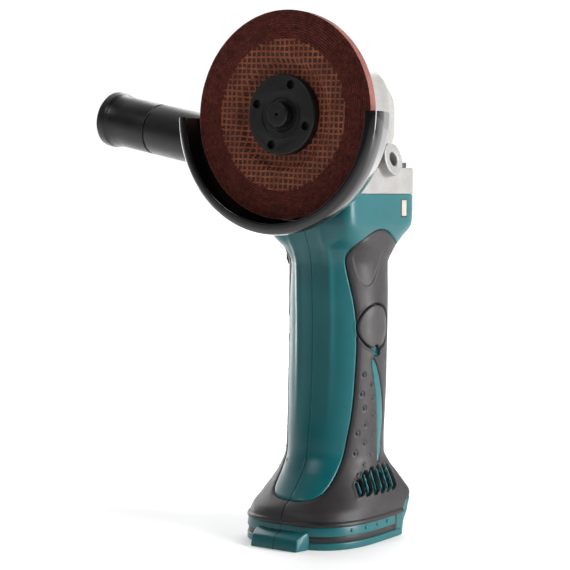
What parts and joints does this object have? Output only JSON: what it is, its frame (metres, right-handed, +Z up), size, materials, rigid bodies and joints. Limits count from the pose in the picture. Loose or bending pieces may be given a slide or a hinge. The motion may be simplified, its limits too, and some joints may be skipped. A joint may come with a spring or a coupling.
{
  "type": "angle grinder",
  "caption": "Cordless angle grinder standing on its battery foot, with a depressed-centre wheel, half guard, aluminium gear head, side handle and overmoulded grip.",
  "frame": {"origin": "on the motor axis, in the plane of the foot's lower face, at the middle of the battery rails", "axes": "+Z up along the grip towards the gear head, +Y away from the wheel, which faces -Y, and -X towards the side handle"},
  "size_m": [0.245, 0.1054, 0.2982],
  "materials": {
    "cast_aluminium": "satin, fine cast texture",
    "steel": "ground",
    "black_screws": "black oxide",
    "core_steel": "laminated",
    "copper": "enamelled copper",
    "magnet": "matte",
    "carbon": "matte",
    "brass": "satin",
    "black_flanges": "black oxide, satin",
    "black_guard": "gloss black paint",
    "abrasive": "bonded grit over glass mesh",
    "teal_plastic": "satin moulded",
    "grip_rubber": "matte elastomer",
    "cover_plastic": "satin",
    "handle_plastic": "satin",
    "inner_plastic": "satin",
    "felt": "felt",
    "lead_insulation": "flexible"
  },
  "bodies": {
    "housing": {"gear_housing": "cast_aluminium", "gear_housing_screws": "black_screws", "bearing_box": "cast_aluminium", "bearing_box_screws": "black_screws", "felt_seal": "felt", "needle_bearing": "steel", "spindle_bearing_outer": "steel", "spindle_bearing_balls": "steel", "upper_bearing_outer": "steel", "upper_bearing_balls": "steel", "lower_bearing_outer": "steel", "lower_bearing_balls": "steel", "fan_baffle": "inner_plastic", "motor_yoke": "steel", "field_magnets": "magnet", "motor_end_cap": "inner_plastic", "brush_holders": "brass", "carbon_brushes": "carbon", "brush_springs": "steel", "brush_caps": "inner_plastic", "grip_shell_left": "teal_plastic", "grip_shell_right": "teal_plastic", "rubber_grip_left": "grip_rubber", "rubber_grip_right": "grip_rubber", "switch_unit": "inner_plastic", "terminal_block": "inner_plastic", "terminal_blades": "brass", "lead_wires": "lead_insulation", "shell_screws": "black_screws", "lock_spring": "steel"},
    "spindle": {"spindle": "steel", "spindle_spacer": "steel", "gear_clip": "steel", "ring_gear": "steel", "inner_flange": "black_flanges", "grinding_wheel": "abrasive", "lock_nut": "black_flanges", "spindle_bearing_inner": "steel"},
    "rotor": {"drive_pinion": "steel", "armature_shaft": "steel", "armature_core": "core_steel", "armature_windings": "copper", "commutator": "copper", "cooling_fan": "inner_plastic", "upper_bearing_inner": "steel", "lower_bearing_inner": "steel"},
    "guard": {"wheel_guard": "black_guard", "guard_band": "black_guard", "guard_clamp_screw": "black_screws"},
    "shaft_lock": {"lock_pin": "steel", "lock_button": "cover_plastic"},
    "switch": {"slide_knob": "cover_plastic", "switch_rod": "inner_plastic"},
    "side_handle": {"handle_grip": "handle_plastic", "handle_stud": "steel"},
    "brush_cover_right": {"brush_cover_right": "cover_plastic"},
    "brush_cover_left": {"brush_cover_left": "cover_plastic"}
  },
  "joints": [
    {"name": "spindle_turn", "type": "hinge", "parent": "housing", "child": "spindle", "pos_m": [0, 0, 0.24075], "axis": [0, 1, 0], "continuous": true},
    {"name": "rotor_turn", "type": "hinge", "parent": "housing", "child": "rotor", "pos_m": [0, 0, 0.15], "axis": [0, 0, 1], "continuous": true},
    {"name": "guard_turn", "type": "hinge", "parent": "housing", "child": "guard", "pos_m": [0, 0, 0.24075], "axis": [0, 1, 0], "range_deg": [-90, 90]},
    {"name": "shaft_lock_press", "type": "slide", "parent": "housing", "child": "shaft_lock", "axis": [0, -1, 0], "range_m": [0, 0.0035], "stiffness_N_per_m": 900, "springref_m": -0.002, "deforming": ["lock_spring"]},
    {"name": "switch_slide", "type": "slide", "parent": "housing", "child": "switch", "axis": [0, 0, 1], "range_m": [0, 0.007]},
    {"name": "side_handle_unscrew", "type": "slide", "parent": "housing", "child": "side_handle", "axis": [-0.9796, 0, 0.2011], "range_m": [0, 0.02]},
    {"name": "brush_cover_right_pull", "type": "slide", "parent": "housing", "child": "brush_cover_right", "axis": [1, 0, 0], "range_m": [0, 0.012]},
    {"name": "brush_cover_left_pull", "type": "slide", "parent": "housing", "child": "brush_cover_left", "axis": [-1, 0, 0], "range_m": [0, 0.012]}
  ],
  "couplings": [
    {"joint": "rotor_turn", "follows": "spindle_turn", "ratio": -3.7}
  ]
}
